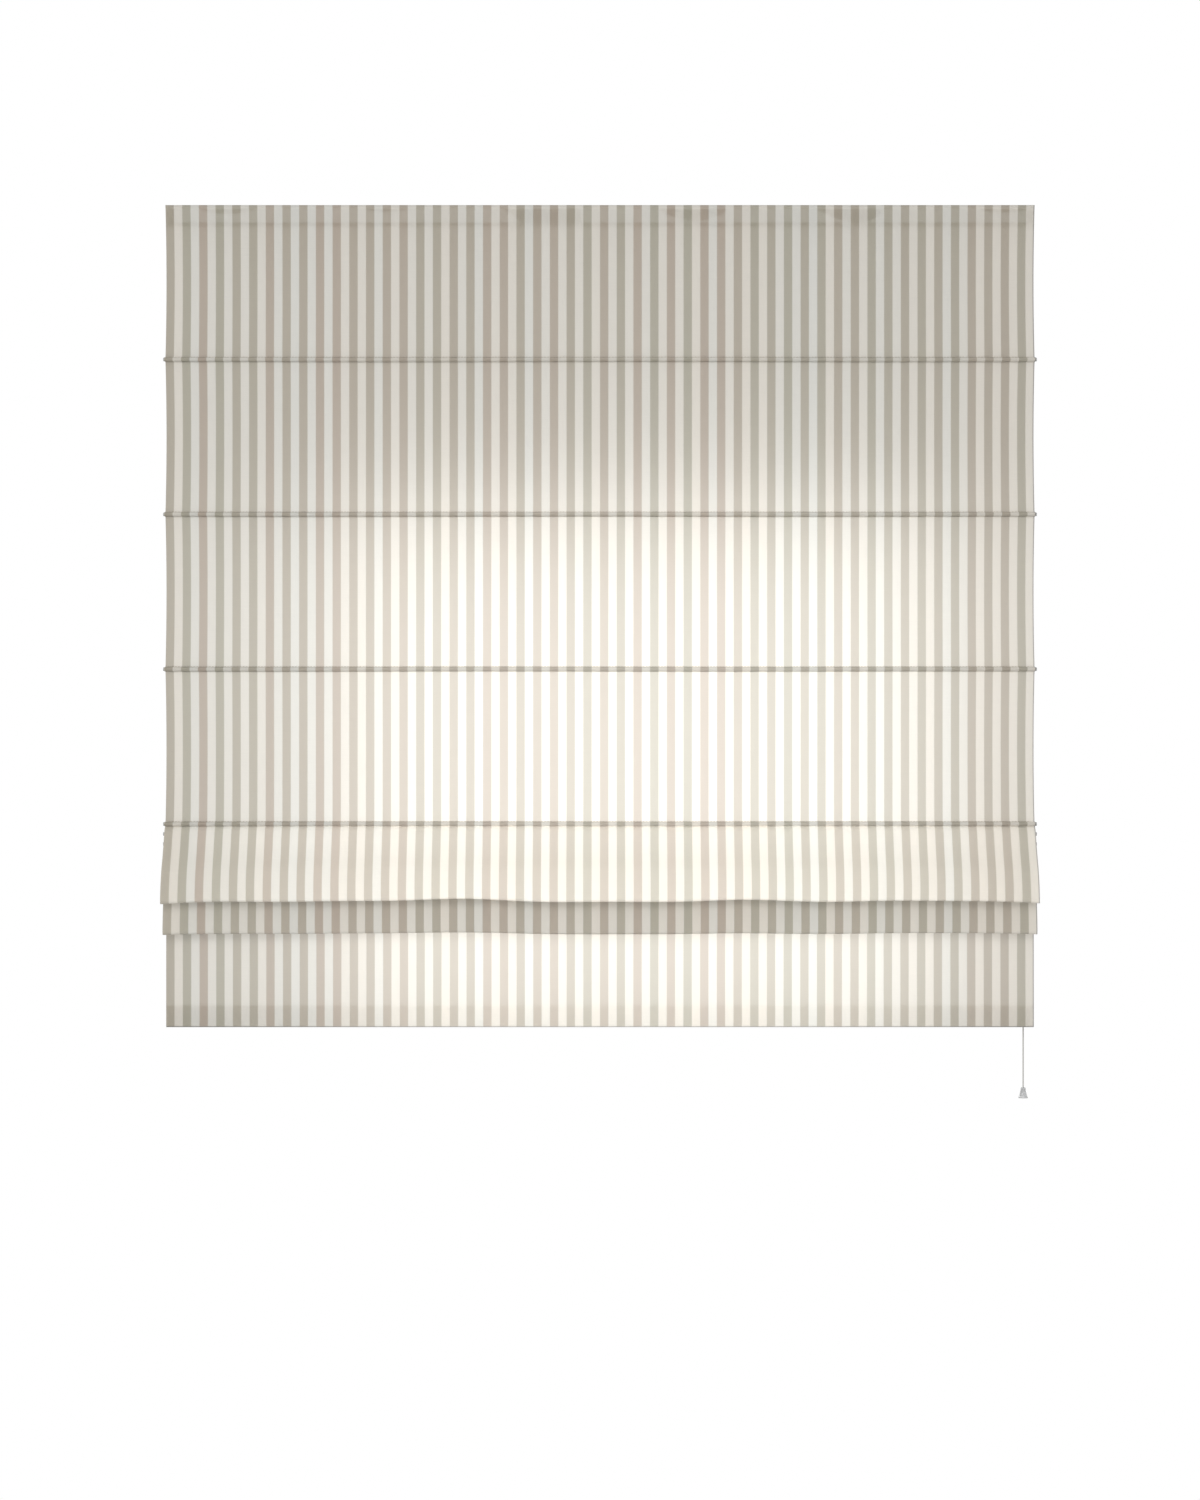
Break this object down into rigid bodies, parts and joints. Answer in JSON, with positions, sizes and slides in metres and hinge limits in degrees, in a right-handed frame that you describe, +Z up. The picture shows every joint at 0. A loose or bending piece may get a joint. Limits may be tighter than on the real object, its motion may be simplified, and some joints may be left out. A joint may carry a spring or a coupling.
{
  "type": "roman blind",
  "caption": "Flat roman blind in striped cloth, part raised: rods in sewn tunnels, folded lower part, weight bar, headrail with brackets, lift cords and a bell-shaped pull.",
  "frame": {"origin": "between the two screw holes of the centre bracket, on the wall plane", "axes": "+X along the blind, +Y from the room to the wall, +Z up"},
  "size_m": [1.3054, 0.1184, 1.3403],
  "materials": {
    "fabric": "matte woven cloth",
    "rod": "satin",
    "clear_plastic": "clear",
    "white_plastic": "satin",
    "rail": "white powder coat",
    "tape": "matte",
    "bracket": "white paint",
    "fastener": "zinc plated",
    "bar": "mill finish",
    "cord": "braided",
    "pin": "brushed"
  },
  "bodies": {
    "frame": {"fabric": "fabric", "headrail": "rail", "end_cap_left": "white_plastic", "end_cap_right": "white_plastic", "hook_tape": "tape", "loop_tape": "tape", "bracket_left": "bracket", "bracket_centre": "bracket", "bracket_right": "bracket", "bracket_bolts": "fastener", "bracket_nuts": "fastener", "cord_guide_1": "white_plastic", "cord_guide_2": "white_plastic", "cord_guide_3": "white_plastic", "cord_guide_4": "white_plastic", "guide_pins": "pin", "cord_lock": "white_plastic", "lock_pin": "pin", "lift_cord_1": "cord", "lift_cord_2": "cord", "lift_cord_3": "cord", "lift_cord_4": "cord"},
    "row_1": {"rod_1": "rod", "rod_caps_1": "clear_plastic", "rings_1": "clear_plastic"},
    "row_2": {"rod_2": "rod", "rod_caps_2": "clear_plastic", "rings_2": "clear_plastic"},
    "row_3": {"rod_3": "rod", "rod_caps_3": "clear_plastic", "rings_3": "clear_plastic"},
    "row_4": {"rod_4": "rod", "rod_caps_4": "clear_plastic", "rings_4": "clear_plastic"},
    "row_5": {"rod_5": "rod", "rod_caps_5": "clear_plastic", "rings_5": "clear_plastic"},
    "hem": {"rod_6": "rod", "rod_caps_6": "clear_plastic", "rings_6": "clear_plastic", "cord_beads": "white_plastic", "weight_bar": "bar", "weight_bar_caps": "white_plastic"},
    "cord_run": {"cord_tail_1": "cord", "cord_tail_2": "cord", "cord_tail_3": "cord", "cord_tail_4": "cord"},
    "pull": {"cord_joiner": "clear_plastic", "draw_cord": "cord", "cord_pull": "clear_plastic", "pull_knot": "cord"},
    "roller_1": {"guide_roller_1": "white_plastic"},
    "roller_2": {"guide_roller_2": "white_plastic"},
    "roller_3": {"guide_roller_3": "white_plastic"},
    "roller_4": {"guide_roller_4": "white_plastic"},
    "roller_lock": {"lock_roller": "white_plastic"},
    "jaw": {"lock_jaw": "white_plastic"}
  },
  "joints": [
    {"name": "lift_1", "type": "slide", "parent": "frame", "child": "row_1", "axis": [0, 0.0429, 0.9991], "range_m": [0, 0.18657], "deforming": ["fabric", "lift_cord_1", "lift_cord_2", "lift_cord_3", "lift_cord_4"]},
    {"name": "lift_2", "type": "slide", "parent": "row_1", "child": "row_2", "axis": [0, 0.0369, 0.9993], "range_m": [0, 0.21655]},
    {"name": "lift_3", "type": "slide", "parent": "row_2", "child": "row_3", "axis": [0, 0.0369, 0.9993], "range_m": [0, 0.21655]},
    {"name": "lift_4", "type": "slide", "parent": "row_3", "child": "row_4", "axis": [0, 0.0554, 0.9985], "range_m": [0, 0.21673]},
    {"name": "open_5", "type": "slide", "parent": "row_4", "child": "row_5", "axis": [0, 0, 1], "range_m": [-0.2164, 0]},
    {"name": "open_6", "type": "slide", "parent": "row_5", "child": "hem", "axis": [0, 0, 1], "range_m": [-0.276, 0]},
    {"name": "cord_run", "type": "slide", "parent": "frame", "child": "cord_run", "axis": [0, 0, -1], "range_m": [0, 0.8356]},
    {"name": "pull_up", "type": "slide", "parent": "cord_run", "child": "pull", "axis": [0, 0, 1], "range_m": [0, 0.4924], "deforming": ["cord_tail_1", "cord_tail_2", "cord_tail_3", "cord_tail_4"]},
    {"name": "guide_roller_1", "type": "hinge", "parent": "frame", "child": "roller_1", "pos_m": [-0.5953, -0.038, -0.003], "axis": [0, 1, 0], "continuous": true},
    {"name": "guide_roller_2", "type": "hinge", "parent": "frame", "child": "roller_2", "pos_m": [-0.2103, -0.038, -0.003], "axis": [0, 1, 0], "continuous": true},
    {"name": "guide_roller_3", "type": "hinge", "parent": "frame", "child": "roller_3", "pos_m": [0.2197, -0.038, -0.003], "axis": [0, 1, 0], "continuous": true},
    {"name": "guide_roller_4", "type": "hinge", "parent": "frame", "child": "roller_4", "pos_m": [0.6047, -0.038, -0.003], "axis": [0, 1, 0], "continuous": true},
    {"name": "lock_roller", "type": "hinge", "parent": "frame", "child": "roller_lock", "pos_m": [0.6343, -0.038, -0.003], "axis": [0, 1, 0], "continuous": true},
    {"name": "lock_jaw", "type": "slide", "parent": "frame", "child": "jaw", "axis": [0.2924, 0, 0.9563], "range_m": [0, 0.0035]}
  ],
  "couplings": [
    {"joint": "lift_2", "follows": "lift_1", "ratio": 1.1607},
    {"joint": "lift_3", "follows": "lift_1", "ratio": 1.1607},
    {"joint": "lift_4", "follows": "lift_1", "ratio": 1.1617},
    {"joint": "cord_run", "follows": "lift_1", "ratio": 4.4787},
    {"joint": "open_6", "follows": "open_5", "ratio": 1.2754},
    {"joint": "pull_up", "follows": "open_5", "ratio": -2.2754}
  ]
}
